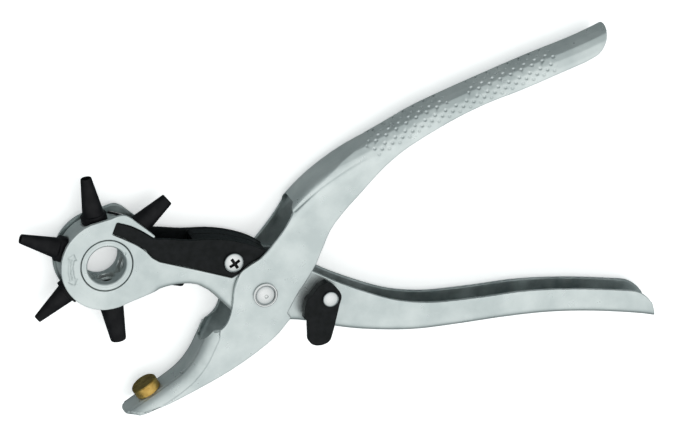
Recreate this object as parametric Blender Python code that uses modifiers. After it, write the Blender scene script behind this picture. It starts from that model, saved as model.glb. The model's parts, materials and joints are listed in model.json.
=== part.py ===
"""Revolving hole punch pliers, 220 mm class, for leather.

Frame: metres. The tool lies on its rear side, open, as it springs apart when let go.
X runs from the turret towards the handles, Y across the jaws, +Z out of the front side.
The origin is on the main pivot's axis, in the plane that the rear rivet head rests on.
Lengths below are in millimetres and are turned into metres where a mesh is made.
"""

import math

import bmesh
import bpy
from mathutils import Matrix, Vector

MM = 0.001
GAP = 0.3                      # clearance left between pieces that touch
COPLANAR = 0.04                # keeps the faces of two blocks that are cut together apart

# Widths of the stack, measured from the tool's middle plane
MID_Z = 9.8                    # height of the middle plane above the resting plane
HEAD_SHEET = 1.5               # sheet of the inner lever, which holds the turret
HEAD_HALF = 6.7                # half of the inner lever's width
ANVIL_SHEET = 1.3              # sheet of the outer lever, which holds the anvil
ANVIL_HALF = HEAD_HALF + GAP + ANVIL_SHEET
HEAD_BEND = 2.2                # outside radius of the bend along the inner lever
ANVIL_BEND = 4.0               # outside radius of the bends along the outer lever's jaw
GRIP_BEND = 7.8                # the same along its handle, which is nearly half round

# Turret
TURRET = (-54.35, 12.46)
HEAD_RADIUS = 15.6
BORE_R = 6.6
HUB_R = 8.7
DRUM_R = 14.6
DRUM_HALF = HEAD_HALF - HEAD_SHEET - GAP
PUNCH_REACH = 29.45            # turret axis to cutting edge
PUNCH_SEAT = 13.7              # turret axis to the spot face under a punch's flange
PUNCH_FIRST_ANGLE = 43.0
PUNCH_HOLES = (3.5, 3.0, 2.5, 2.0, 4.5, 4.0)   # counter-clockwise from the first angle
SWEEP_CLEAR = PUNCH_REACH + 1.2
DETENT_R = 12.1                # radius of the ball track on the drum's front face
DETENT_ANGLE = 66.8
BALL_R = 1.0

# Main pivot and the spring on it
RIVET_R = 3.0
RIVET_HEAD_R = 4.15
SLEEVE_R = 3.95
WIRE_R = 0.75
COIL_R = 5.2
COIL_TURNS = 3
LEG_ANGLE = 150.0              # where the long leg leaves the coil
LEG_HOOK = (-0.75, 9.1)        # where that leg turns back through the rear cheek

# Anvil
WEB_ANGLE = 215.0              # direction of the jaw's web where the anvil stands
ANVIL_FOOT = (-36.55, -35.15)
ANVIL_R = 4.6
ANVIL_HEIGHT = 3.9
JAW_END = (-38.6, -36.58)      # centre of the jaw's round end, on the web

# Cover screw, latch
SCREW = (-11.0, 11.6)
SCREW_HEAD_R = 3.4
SCREW_R = 1.75
LATCH = (21.6, -1.2)
LATCH_RIVET_R = 1.6
LATCH_Z = (HEAD_HALF + GAP + ANVIL_SHEET + GAP, HEAD_HALF + GAP + ANVIL_SHEET + GAP + 3.6)


# ---------------------------------------------------------------- outlines

def curve(points, per_span=3):
    """A smooth line through a few points."""
    points = [Vector(p) for p in points]
    padded = [2 * points[0] - points[1], *points, 2 * points[-1] - points[-2]]
    line = []
    for a, b, c, d in zip(padded, padded[1:], padded[2:], padded[3:]):
        ta = 0.0
        tb = ta + math.sqrt((b - a).length)
        tc = tb + math.sqrt((c - b).length)
        td = tc + math.sqrt((d - c).length)
        for step in range(per_span):
            t = tb + (tc - tb) * step / per_span
            ab = a.lerp(b, (t - ta) / (tb - ta))
            bc = b.lerp(c, (t - tb) / (tc - tb))
            cd = c.lerp(d, (t - tc) / (td - tc))
            abc = ab.lerp(bc, (t - ta) / (tc - ta))
            bcd = bc.lerp(cd, (t - tb) / (td - tb))
            line.append(abc.lerp(bcd, (t - tb) / (tc - tb)))
    return line + [points[-1]]


def arc(centre, radius, start, end, steps):
    """Points along an arc, angles in degrees."""
    angles = [math.radians(start + (end - start) * i / steps) for i in range(steps + 1)]
    return [Vector((centre[0] + radius * math.cos(a), centre[1] + radius * math.sin(a)))
            for a in angles]


def offset(line, distance):
    """The open line moved to its left by a distance."""
    moved = []
    for i, point in enumerate(line):
        along = line[min(i + 1, len(line) - 1)] - line[max(i - 1, 0)]
        left = Vector((-along.y, along.x)).normalized()
        moved.append(point + left * distance)
    return moved


def polar(centre, radius, angle):
    a = math.radians(angle)
    return Vector((centre[0] + radius * math.cos(a), centre[1] + radius * math.sin(a)))


# ---------------------------------------------------------------- collections, materials

for old in list(bpy.data.objects):
    bpy.data.objects.remove(old, do_unlink=True)

PARTS = bpy.data.collections.new("revolving_punch_pliers")
CUTTERS = bpy.data.collections.new("cutters")
bpy.context.scene.collection.children.link(PARTS)
bpy.context.scene.collection.children.link(CUTTERS)


def material(name, colour, roughness, metallic):
    made = bpy.data.materials.new(name)
    made.use_nodes = True
    shader = made.node_tree.nodes["Principled BSDF"]
    shader.inputs["Base Color"].default_value = (*colour, 1.0)
    shader.inputs["Roughness"].default_value = roughness
    shader.inputs["Metallic"].default_value = metallic
    return made


PLATED = material("plated_steel", (0.72, 0.76, 0.75), 0.28, 1.0)
BRIGHT = material("bright_steel", (0.80, 0.80, 0.79), 0.18, 1.0)
BLACK_OXIDE = material("black_oxide", (0.020, 0.021, 0.022), 0.38, 0.6)
PLASTIC = material("black_plastic", (0.022, 0.024, 0.026), 0.45, 0.0)
BRASS = material("brass", (0.62, 0.40, 0.12), 0.30, 1.0)
SPRING_STEEL = material("spring_steel", (0.30, 0.30, 0.31), 0.35, 1.0)


# ---------------------------------------------------------------- solids

def place(mesh, name, skin, cutter=False):
    thing = bpy.data.objects.new(name, mesh)
    (CUTTERS if cutter else PARTS).objects.link(thing)
    if cutter:
        thing.hide_render = True
        thing.display_type = "WIRE"
    else:
        mesh.materials.append(skin)
    return thing


def prism(name, outline, low, high, skin=None):
    """A flat outline extruded from low to high, both measured from the middle plane."""
    flat = bpy.data.curves.new(name + "_outline", "CURVE")
    flat.dimensions = "2D"
    flat.fill_mode = "BOTH"
    flat.extrude = (high - low) / 2 * MM
    spline = flat.splines.new("POLY")
    spline.points.add(len(outline) - 1)
    for point, corner in zip(spline.points, outline):
        point.co = (corner[0] * MM, corner[1] * MM, 0.0, 1.0)
    spline.use_cyclic_u = True
    guide = bpy.data.objects.new(name + "_outline", flat)
    guide.location.z = (MID_Z + (low + high) / 2) * MM
    CUTTERS.objects.link(guide)
    bpy.context.view_layer.update()
    solid = bpy.data.meshes.new_from_object(guide.evaluated_get(bpy.context.evaluated_depsgraph_get()))
    solid.transform(guide.matrix_world)
    bpy.data.objects.remove(guide, do_unlink=True)
    welded = bmesh.new()
    welded.from_mesh(solid)
    bmesh.ops.remove_doubles(welded, verts=welded.verts, dist=1e-6)
    bmesh.ops.dissolve_limit(welded, angle_limit=math.radians(0.2), verts=welded.verts,
                             edges=welded.edges)
    bmesh.ops.recalc_face_normals(welded, faces=welded.faces)
    welded.to_mesh(solid)
    welded.free()
    solid.materials.clear()
    return place(solid, name, skin, cutter=skin is None)


def rounded(thing, radius, segments):
    """Round the long edges of a prism."""
    bevel = thing.modifiers.new("bend", "BEVEL")
    bevel.limit_method = "ANGLE"
    bevel.angle_limit = math.radians(70)
    bevel.width = radius * MM
    bevel.segments = segments
    bevel.use_clamp_overlap = False
    return thing


def turned(name, profile, centre, low, skin=None, steps=32, closed=False):
    """A profile of (radius, height) turned about an axis along Z."""
    mesh = bpy.data.meshes.new(name)
    points = [(r * MM, 0.0, h * MM) for r, h in profile]
    edges = [(i, i + 1) for i in range(len(points) - 1)]
    if closed:
        edges.append((len(points) - 1, 0))
    mesh.from_pydata(points, edges, [])
    thing = place(mesh, name, skin, cutter=skin is None)
    thing.location = (centre[0] * MM, centre[1] * MM, (MID_Z + low) * MM)
    screw = thing.modifiers.new("turn", "SCREW")
    screw.steps = steps
    screw.render_steps = steps
    screw.use_merge_vertices = True
    screw.merge_threshold = 0.00001
    screw.use_smooth_shade = True
    return thing


def peg(name, centre, radius, low, high, steps=32):
    """A round cutter along Z."""
    return turned(name, [(0, high), (radius, high), (radius, low), (0, low)], centre, 0, steps=steps)


def cut(thing, cutter, operation="DIFFERENCE"):
    boolean = thing.modifiers.new(cutter.name, "BOOLEAN")
    boolean.operation = operation
    boolean.solver = "EXACT"
    boolean.object = cutter


def tip_towards(thing, direction):
    """Turn a piece made along +Z so that it points along a direction in the XY plane."""
    a = math.radians(direction)
    thing.rotation_euler = Vector((math.cos(a), math.sin(a), 0)).to_track_quat("Z", "Y").to_euler()


# ---------------------------------------------------------------- inner lever

HANDLE_BELOW = [(10.4, -10.5), (17.0, -11.5), (27.0, -13.9), (37.0, -15.4), (53.0, -16.3),
                (69.0, -15.2), (85.0, -13.6), (101.0, -12.7), (117.0, -13.2), (134.0, -15.0),
                (139.0, -15.9)]
HANDLE_ABOVE = [(137.6, -11.0), (135.4, -8.6), (132.0, -6.6), (125.0, -5.6), (108.0, -4.3),
                (92.0, -4.2), (76.0, -5.6), (60.0, -6.5), (51.0, -5.8), (43.5, -4.2),
                (27.0, 1.9), (16.5, 7.0), (8.0, 11.2), (0.5, 12.6), (-4.5, 10.8), (-8.8, 7.2)]
ARM_BELOW = [(-47.4, -1.4), (-42.5, 0.7), (-37.5, 2.7), (-32.6, 4.0), (-27.5, 4.4),
             (-23.0, 3.6), (-19.0, 1.6)]
ARM_STEP = [(-16.9, -0.1), (-11.4, -5.4)]
UNDER_PIVOT = [(-8.6, -7.7), (-4.0, -9.9), (3.0, -10.7)]
WEB_START_X = -22.5
SLOT_FLOOR = [(-52.9, 23.3), (-48.3, 21.1), (-44.1, 18.9), (-41.0, 16.6), (-38.9, 14.4),
              (-36.3, 12.8)]
COVER_FLOOR = [(-23.2, 9.3), (-11.2, 5.9)]
SLOT_ROOF = [(-38.6, 21.3), (-42.6, 23.9), (-46.4, 25.9), (-51.5, 27.5)]
HEAD_CROWN = [(-38.2, 22.0), (-41.3, 24.6), (-44.4, 27.0), (-47.2, 29.1), (-49.6, 29.9),
              (-54.0, 28.6)]

arm_line = curve(ARM_BELOW) + [Vector(p) for p in ARM_STEP] + curve(UNDER_PIVOT + HANDLE_BELOW)


def head_outline():
    """Outline of both plates, counter-clockwise from the turret end's lower side."""
    round_end = arc(TURRET, HEAD_RADIUS, 112, 294, 24)
    return (arm_line + curve(HANDLE_ABOVE) + [Vector(p) for p in reversed(COVER_FLOOR)]
            + curve(SLOT_FLOOR)[::-1] + curve(SLOT_ROOF)[::-1] + curve(HEAD_CROWN) + round_end)


def make_head_lever():
    web = [p for p in arm_line if p.x > -36]
    above = [Vector((145, -16.9)), Vector((150, -10)), Vector((150, 40)), Vector((-80, 60)),
             Vector((-80, -30)), Vector((-46, -30)), Vector((-46, -6))]
    lever = prism("head_lever", web + above, -HEAD_HALF, HEAD_HALF, PLATED)
    rounded(lever, HEAD_BEND, 3)
    cut(lever, prism("head_outline", head_outline(), -HEAD_HALF - 2, HEAD_HALF + 2), "INTERSECT")
    inside = HEAD_HALF - HEAD_SHEET
    lining = [p for p in offset(arm_line, HEAD_SHEET) if p.x > WEB_START_X]
    cavity = [Vector((WEB_START_X, -40)), *lining, Vector((150, -16.4)), Vector((150, 60)),
              Vector((-90, 60)), Vector((-90, -40))]
    cut(lever, rounded(prism("head_cavity", cavity, -inside, inside), HEAD_BEND - HEAD_SHEET, 2))
    cut(lever, peg("hub_seat", TURRET, HUB_R + GAP, -THROUGH, THROUGH, 48))
    cut(lever, peg("head_pivot_hole", (0, 0), RIVET_R + GAP, -THROUGH, THROUGH))
    cut(lever, peg("latch_hole", LATCH, LATCH_RIVET_R + GAP, -THROUGH, THROUGH, 24))
    hook = Vector(LEG_HOOK)
    reach = hook.length
    rest = math.degrees(math.atan2(hook.y, hook.x))
    half = WIRE_R + GAP
    slot = (arc((0, 0), reach + half, rest - 28, rest + 8, 12)
            + arc((0, 0), reach - half, rest + 8, rest - 28, 12))
    cut(lever, prism("spring_slot", slot, -THROUGH, -inside + 1))
    return lever


# ---------------------------------------------------------------- outer lever

GRIP_ABOVE = [(117.4, 87.3), (111.9, 84.6), (104.9, 81.6), (90.8, 76.4), (76.8, 70.8),
              (62.8, 65.0), (48.9, 58.7), (35.0, 50.1), (21.3, 40.8), (14.5, 35.0), (9.6, 29.6)]
GRIP_END = [(116.2, 91.0), (115.9, 88.2), (115.5, 85.0), (114.4, 82.1), (112.4, 79.5), (108.0, 76.9)]
GRIP_BELOW = [(100.6, 73.9), (86.6, 68.3), (72.6, 63.2), (58.8, 56.5), (45.5, 48.3), (38.6, 42.2),
              (31.5, 34.2), (25.8, 27.6), (21.8, 21.8), (19.4, 15.6), (17.4, 10.3), (15.0, 5.4),
              (11.0, -1.2), (8.2, -6.9)]
JAW_BELOW = [(9.5, -8.7), (4.7, -14.8), (-2.1, -20.6), (-11.1, -26.7), (-20.3, -31.8),
             (-26.4, -34.9), (-31.2, -37.2), (-36.0, -39.2), (-41.0, -41.4), (-48.0, -44.6)]
JAW_FACE = [(-17.6, -11.4), (-20.0, -17.0), (-22.0, -21.6), (-24.3, -25.2), (-26.9, -28.1),
            (-29.8, -30.4), (-33.0, -32.68), (-36.55, -35.15), (-41.0, -38.27), (-50.0, -44.57)]
CHEEK_LEFT = [(-17.4, -12.6), (-14.8, -11.9), (-12.9, -10.0), (-11.6, -6.7), (-10.9, -2.0),
              (-10.7, 1.8), (-10.0, 4.9), (-8.7, 8.0), (-5.8, 10.4), (-2.2, 12.7), (0.3, 15.2),
              (2.6, 18.2), (5.0, 21.5), (7.0, 24.8), (8.6, 28.0)]
SCOOP = (-18.0, -11.6)         # centre of the hollow at the window's lower corner
SCOOP_R = 6.1
GRIP_CROWN = 1.3               # how far the handle's round back stands above those points
WINDOW_DRIFT = 3.5             # how far the round back's line moves out at the window
DRIFT_FROM_X = 45.0
PAST_WALL = 3.0                # how far an outline passes a wall that a block gives
THROUGH = 9.0                  # reach of a cutter that passes all of the stack
STEM_R = 2.0                   # the anvil's stem

grip_line = offset(curve(GRIP_ABOVE), -GRIP_CROWN)
jaw_line = curve(JAW_FACE)


def anvil_outline():
    """Outline of both cheeks with their handle and jaw; the web's side stands proud of the web."""
    above = [p for p in offset(grip_line, -PAST_WALL) if p.x < GRIP_END[0][0] - 1.0]
    beside = offset(jaw_line, -PAST_WALL)
    return (above[-2::-1] + curve(GRIP_END) + curve(GRIP_BELOW)
            + curve(JAW_BELOW) + beside[::-1] + curve(CHEEK_LEFT))


def drifted(line):
    """The handle's back line, moved out near the window, where the round back grows tighter."""
    moved = []
    for point, outer in zip(line, offset(line, -WINDOW_DRIFT)):
        share = min(max((DRIFT_FROM_X - point.x) / (DRIFT_FROM_X - line[-1].x), 0.0), 1.0)
        moved.append(point.lerp(outer, share * share * (3 - 2 * share)))
    return moved


def round_back(name, back, half, bend):
    """Block that gives the handle its round back."""
    back = drifted(back)
    outward = Vector((-0.74, 0.67)) * 60
    outline = [Vector((132, 93)), *back, back[-1] + outward, Vector((-70, 70)), Vector((-70, -80)),
               Vector((170, -80)), Vector((170, 80))]
    return rounded(prism(name, outline, -half, half), bend, 5)


def make_anvil_lever():
    far = [Vector((125.5, 92.0)), *offset(grip_line, -COPLANAR), Vector((-2, 16)), Vector((-20, 14)),
           Vector((-24, 2)), Vector((-16.0, -7.6)), *jaw_line, Vector((-58, -50.2)),
           Vector((-50, -60)), Vector((20, -40)), Vector((60, 20)), Vector((140, 70))]
    half = ANVIL_HALF + COPLANAR
    lever = rounded(prism("anvil_lever", far, -half, half, PLATED), ANVIL_BEND + COPLANAR, 4)
    cut(lever, round_back("handle_back", grip_line, ANVIL_HALF, GRIP_BEND), "INTERSECT")
    cut(lever, prism("anvil_outline", anvil_outline(), -ANVIL_HALF - 2, ANVIL_HALF + 2), "INTERSECT")
    inside = ANVIL_HALF - ANVIL_SHEET
    grip_lining = offset(grip_line, ANVIL_SHEET)
    cavity = [Vector((126, 91)), *offset(grip_lining, -COPLANAR), Vector((6, 34)), Vector((-40, 34)),
              Vector((-40, -2)), *offset(jaw_line, ANVIL_SHEET), Vector((-60, -51)),
              Vector((-50, -70)), Vector((30, -50)), Vector((70, 10)), Vector((150, 70))]
    half = inside + COPLANAR
    lining = rounded(prism("anvil_cavity", cavity, -half, half), ANVIL_BEND - ANVIL_SHEET + COPLANAR, 3)
    cut(lining, round_back("handle_lining", grip_lining, inside, GRIP_BEND - ANVIL_SHEET), "INTERSECT")
    cut(lever, lining)
    cut(lever, peg("anvil_pivot_hole", (0, 0), RIVET_R + GAP, -THROUGH, THROUGH))
    cut(lever, peg("hook_hole", LEG_HOOK, WIRE_R + GAP, -THROUGH, -6, 16))
    scoop = turned("window_scoop", [(0, 8), (SCOOP_R, 8), (SCOOP_R, -8), (0, -8)], SCOOP, 0)
    tip_towards(scoop, WEB_ANGLE - 60)
    cut(lever, scoop)
    cut(lever, end_trimmer("jaw_trimmer", JAW_END, WEB_ANGLE))
    radius = STEM_R + GAP
    stem_hole = turned("stem_hole", [(0, 6), (radius, 6), (radius, -6), (0, -6)], ANVIL_FOOT, 0,
                       steps=24)
    tip_towards(stem_hole, WEB_ANGLE - 90)
    cut(lever, stem_hole)
    return lever


def end_trimmer(name, centre, direction):
    """Everything past a lever's end but for a half-round of the lever's own width."""
    reach = 14.0
    block = [(0, -reach), (reach + 6, -reach), (reach + 6, reach), (0, reach)]
    half_round = arc((0, 0), ANVIL_HALF, 90, -90, 12)
    outline = [Vector(p) for p in block] + [Vector((0, ANVIL_HALF))] + half_round[1:]
    trimmer = prism(name, outline, -12, 12)
    a = math.radians(direction)
    lift = Matrix.Translation(Vector((centre[0], centre[1], MID_Z)) * MM)
    along = Vector((math.cos(a), math.sin(a), 0))
    across = Vector((0, 0, 1))
    normal = along.cross(across)
    turn = Matrix((along, across, normal)).transposed().to_4x4()
    trimmer.data.transform(lift @ turn @ Matrix.Translation((0, 0, -MID_Z * MM)))
    return trimmer


# ---------------------------------------------------------------- turret and punches

def make_turret():
    groove_in = DETENT_R - BALL_R - 0.25
    groove_out = DETENT_R + BALL_R + 0.2
    floor = DRUM_HALF - 0.95
    profile = [(BORE_R, HEAD_HALF), (HUB_R, HEAD_HALF), (HUB_R, DRUM_HALF), (groove_in, DRUM_HALF),
               (groove_in, floor), (groove_out, floor), (groove_out, DRUM_HALF),
               (DRUM_R, DRUM_HALF), (DRUM_R, -DRUM_HALF), (HUB_R, -DRUM_HALF),
               (HUB_R, -HEAD_HALF), (BORE_R, -HEAD_HALF)]
    drum = turned("turret_drum", profile, TURRET, 0, PLATED, steps=40, closed=True)
    for i in range(6):
        angle = PUNCH_FIRST_ANGLE + 60 * i
        bore = turned(f"socket_{i}", [(0, 20), (4.7, 20), (4.7, PUNCH_SEAT), (2.9, PUNCH_SEAT),
                                      (2.9, 8.3), (3.3, 8.1), (3.3, 3.0), (0, 3.0)], TURRET, 0, steps=20)
        tip_towards(bore, angle)
        cut(drum, bore)
        spot = polar(TURRET, DETENT_R, DETENT_ANGLE + 60 * i)
        cut(drum, peg(f"dimple_{i}", spot, 0.6, floor - 0.4, floor + 0.3, 10))
    mark = polar(TURRET, (BORE_R + HUB_R) / 2, 33)
    cut(drum, peg("index_mark", mark, 0.45, HEAD_HALF - 0.5, HEAD_HALF + 1, 10))
    return drum


def make_punches():
    for i, hole in enumerate(PUNCH_HOLES):
        edge = hole / 2 + 0.3
        root = 2.9 + 0.25 * hole
        bore = hole / 2
        relief = min(bore + 0.5, 2.1)
        profile = [(bore, PUNCH_REACH), (edge, PUNCH_REACH), (root, 16.6), (4.4, 16.4), (4.4, 14.0),
                   (2.6, 14.0), (2.6, 8.6), (relief, 8.6), (relief, 20.0), (bore, 22.0)]
        size = str(hole).replace(".", "_")
        punch = turned(f"punch_{size}", profile, TURRET, 0, BLACK_OXIDE, steps=20, closed=True)
        tip_towards(punch, PUNCH_FIRST_ANGLE + 60 * i)


# ---------------------------------------------------------------- pivot

def make_pivot():
    face = ANVIL_HALF + GAP
    rivet = [(0, face + 1.7), (2.2, face + 1.6), (3.4, face + 1.15), (RIVET_HEAD_R, face + 0.45),
             (RIVET_HEAD_R, face), (RIVET_R, face), (RIVET_R, -face), (RIVET_HEAD_R, -face),
             (RIVET_HEAD_R, -MID_Z), (0, -MID_Z)]
    turned("pivot_rivet", rivet, (0, 0), 0, BRIGHT, steps=36)
    half = HEAD_HALF - HEAD_SHEET - GAP
    sleeve = [(RIVET_R + GAP, half), (SLEEVE_R, half), (SLEEVE_R, -half), (RIVET_R + GAP, -half)]
    turned("pivot_sleeve", sleeve, (0, 0), 0, BRIGHT, steps=24, closed=True)


def make_opening_spring():
    """Coil round the sleeve; one leg lies in the lower handle, one hooks into the rear cheek."""
    pitch = 2 * WIRE_R + 0.35
    per_turn = 14
    start = -98.0
    sweep = -(COIL_TURNS * 360 + (start - LEG_ANGLE) % 360)
    steps = round(-sweep / 360 * per_turn)
    rise = -sweep / 360 * pitch
    top = rise / 2
    path = [Vector((20.0, -9.5, top))]
    for i in range(steps + 1):
        angle = math.radians(start + sweep * i / steps)
        path.append(Vector((COIL_R * math.cos(angle), COIL_R * math.sin(angle),
                            top - rise * i / steps)))
    hook = Vector((*LEG_HOOK, 0))
    low = top - rise
    path.append(Vector((hook.x - 0.5, hook.y - 0.9, low)))
    path.append(Vector((hook.x - 0.1, hook.y - 0.2, low - 0.4)))
    path.append(Vector((hook.x, hook.y, low - 1.2)))
    path.append(Vector((hook.x, hook.y, -ANVIL_HALF + 0.1)))
    wire = bpy.data.curves.new("opening_spring", "CURVE")
    wire.dimensions = "3D"
    wire.bevel_depth = WIRE_R * MM
    wire.bevel_resolution = 1
    wire.use_fill_caps = True
    spline = wire.splines.new("POLY")
    spline.points.add(len(path) - 1)
    for point, spot in zip(spline.points, path):
        point.co = (spot.x * MM, spot.y * MM, spot.z * MM, 1.0)
    thing = place(wire, "opening_spring", SPRING_STEEL)
    thing.location.z = MID_Z * MM


# ---------------------------------------------------------------- anvil

def make_anvil():
    """Brass pad whose stem is riveted through the jaw's web; heights along the web's normal."""
    under = -ANVIL_SHEET - GAP
    profile = [(0, ANVIL_HEIGHT), (ANVIL_R - 0.4, ANVIL_HEIGHT), (ANVIL_R, ANVIL_HEIGHT - 0.4),
               (ANVIL_R, GAP), (STEM_R, GAP), (STEM_R, under), (2.9, under), (2.6, under - 0.9),
               (0, under - 0.9)]
    anvil = turned("anvil", profile, ANVIL_FOOT, 0, BRASS, steps=32)
    tip_towards(anvil, WEB_ANGLE - 90)


# ---------------------------------------------------------------- arm cover

COVER_RIDGE = [(1.6, 13.6), (-0.6, 15.1), (-4.0, 16.8), (-10.5, 18.8), (-17.1, 19.8), (-27.0, 20.0),
               (-33.6, 20.7), (-38.0, 21.0)]
COVER_END = [(-4.9, 11.1), (-1.5, 12.6)]
LIP = 1.6                      # how far the cover reaches down behind the plates


def make_cover_half(name, side):
    """Half shell: a wall level with the plate, and a block that meets the other half."""
    inside = HEAD_HALF - HEAD_SHEET
    plate_edge = curve(SLOT_FLOOR) + [Vector(p) for p in COVER_FLOOR] + [Vector((-8.8, 7.2))]
    ridge = curve(COVER_RIDGE)
    end = [Vector(p) for p in COVER_END]
    wall = offset(plate_edge, GAP) + end + ridge + offset(curve(SLOT_ROOF), GAP)
    shell = prism(name, wall, *ordered(side * inside, side * HEAD_HALF), PLASTIC)
    clear = arc(TURRET, SWEEP_CLEAR, 12.5, -2.0, 8)
    floor = [p for p in offset(plate_edge, GAP + 0.15) if p.x > clear[-1].x + 0.3]
    roof = [p for p in offset(ridge, 0.15) if p.x > clear[0].x + 0.3]
    block = floor + offset(end, 0.15) + roof + clear
    cut(shell, prism(name + "_block", block, *ordered(side * 0.15, side * (inside + 0.6))), "UNION")
    edge = [p for p in plate_edge if p.x > clear[-1].x + 0.6]
    lip = offset(edge, -LIP) + offset(edge, 1.0)[::-1]
    cut(shell, prism(name + "_lip", lip, *ordered(side * 0.3, side * (inside - GAP))), "UNION")
    cut(shell, peg(name + "_screw_hole", SCREW, SCREW_R + GAP, -THROUGH, THROUGH, 24))
    if side > 0:
        spot = polar(TURRET, DETENT_R, DETENT_ANGLE)
        cut(shell, peg("ball_pocket", spot, BALL_R + 0.2, inside - 1, inside + 0.95, 16))
    return shell


def ordered(a, b):
    return (min(a, b), max(a, b))


def make_cover():
    make_cover_half("cover_front", 1)
    make_cover_half("cover_rear", -1)
    ball = polar(TURRET, DETENT_R, DETENT_ANGLE)
    level = HEAD_HALF - HEAD_SHEET - 0.15
    turn = [math.radians(90 - 180 * i / 8) for i in range(9)]
    profile = [(BALL_R * math.cos(a) if abs(math.cos(a)) > 1e-6 else 0, BALL_R * math.sin(a))
               for a in turn]
    turned("detent_ball", profile, ball, level, BRIGHT, steps=16)
    head = HEAD_HALF + GAP
    screw = turned("cover_screw", [(0, head + 1.7), (1.8, head + 1.6), (2.9, head + 1.1),
                                   (SCREW_HEAD_R, head + 0.3), (SCREW_HEAD_R, head),
                                   (SCREW_R, head), (SCREW_R, -9.4), (0, -9.4)], SCREW, 0, BRIGHT, 32)
    for turn_by in (35, 125):
        bar = [(-1.7, -0.4), (1.7, -0.4), (1.7, 0.4), (-1.7, 0.4)]
        slot = prism(f"screw_slot_{turn_by}", [Vector(p) for p in bar], head + 0.6, head + 3)
        swing = Matrix.Rotation(math.radians(turn_by), 4, "Z")
        slot.data.transform(Matrix.Translation((SCREW[0] * MM, SCREW[1] * MM, 0)) @ swing)
        cut(screw, slot)
    nut = prism("cover_nut", arc(SCREW, 4.04, 0, 300, 5), -MID_Z, -HEAD_HALF - GAP, BRIGHT)
    cut(nut, peg("nut_bore", SCREW, SCREW_R + GAP, -11, -6, 24))


# ---------------------------------------------------------------- latch

LATCH_OUTLINE = [(20.2, 4.8), (23.2, 2.9), (25.5, -0.2), (24.9, -4.0), (24.1, -8.4), (23.2, -13.0),
                 (22.2, -16.2), (20.4, -17.4), (17.6, -17.7), (15.4, -16.6), (14.9, -13.6),
                 (14.5, -8.6)]
LATCH_HEEL = [(13.0, -8.1), (13.0, -4.4), (13.6, -1.6), (15.6, 0.8), (17.3, 3.3)]
LATCH_HOLE = (19.3, -13.2)


def make_latch():
    low, high = LATCH_Z
    latch = prism("latch_lever", curve(LATCH_OUTLINE, 4) + curve(LATCH_HEEL, 4), low, high, PLASTIC)
    cut(latch, peg("latch_bore", LATCH, LATCH_RIVET_R + GAP, low - 1, high + 1, 24))
    cut(latch, peg("latch_eye", LATCH_HOLE, 1.1, low + 1.2, high + 1, 20))
    under = HEAD_HALF + GAP
    washer = [(LATCH_RIVET_R + GAP, low - GAP), (3.3, low - GAP), (3.3, under),
              (LATCH_RIVET_R + GAP, under)]
    turned("latch_washer", washer, LATCH, 0, BRIGHT, steps=28, closed=True)
    top = high + GAP
    rivet = [(0, top + 1.3), (1.5, top + 1.15), (2.4, top + 0.6), (2.75, top), (LATCH_RIVET_R, top),
             (LATCH_RIVET_R, -under), (2.5, -under), (2.5, -under - 1.0), (0, -under - 1.0)]
    turned("latch_rivet", rivet, LATCH, 0, BRIGHT, steps=28)


make_head_lever()
make_anvil_lever()
make_turret()
make_punches()
make_pivot()
make_opening_spring()
make_anvil()
make_cover()
make_latch()

for thing in PARTS.objects:
    if thing.type == "MESH":
        thing.data.shade_smooth()
        thing.data.set_sharp_from_angle(angle=math.radians(35))
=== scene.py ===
"""Revolving hole punch pliers: the visual model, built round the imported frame."""
import json
import math

import bmesh
import bpy
import numpy as np
from mathutils import Matrix, Vector


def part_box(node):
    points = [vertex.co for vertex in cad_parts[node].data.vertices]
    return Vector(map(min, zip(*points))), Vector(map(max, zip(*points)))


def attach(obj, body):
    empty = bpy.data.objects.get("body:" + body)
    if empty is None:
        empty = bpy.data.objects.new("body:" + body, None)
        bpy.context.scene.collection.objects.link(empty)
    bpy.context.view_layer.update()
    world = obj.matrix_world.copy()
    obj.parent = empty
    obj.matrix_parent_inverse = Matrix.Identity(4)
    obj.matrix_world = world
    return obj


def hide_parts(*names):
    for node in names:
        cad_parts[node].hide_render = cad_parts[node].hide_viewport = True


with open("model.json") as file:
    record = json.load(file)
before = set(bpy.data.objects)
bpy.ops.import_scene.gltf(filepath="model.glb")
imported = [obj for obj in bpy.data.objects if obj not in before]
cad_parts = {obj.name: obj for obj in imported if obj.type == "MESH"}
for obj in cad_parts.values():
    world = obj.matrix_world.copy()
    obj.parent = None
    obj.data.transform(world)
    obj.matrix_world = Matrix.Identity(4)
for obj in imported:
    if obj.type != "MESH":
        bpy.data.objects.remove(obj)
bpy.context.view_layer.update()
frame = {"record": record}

MM = 0.001
GAP = 0.3

# Places in millimetres, from the frame's own joints and boxes
JOINTS = {joint["name"]: joint for joint in frame["record"]["behaviour"]["joints"]}
TURRET = tuple(v / MM for v in JOINTS["turret_turn"]["pos_m"][:2])
LATCH = tuple(v / MM for v in JOINTS["latch_swing"]["pos_m"][:2])
MID_Z = JOINTS["jaw"]["pos_m"][2] / MM
HEAD_HALF = (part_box("head_lever")[1][2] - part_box("head_lever")[0][2]) / 2 / MM
ANVIL_HALF = (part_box("anvil_lever")[1][2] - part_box("anvil_lever")[0][2]) / 2 / MM
screw_low, screw_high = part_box("cover_screw")
SCREW = tuple((screw_low[i] + screw_high[i]) / 2 / MM for i in range(2))

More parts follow.
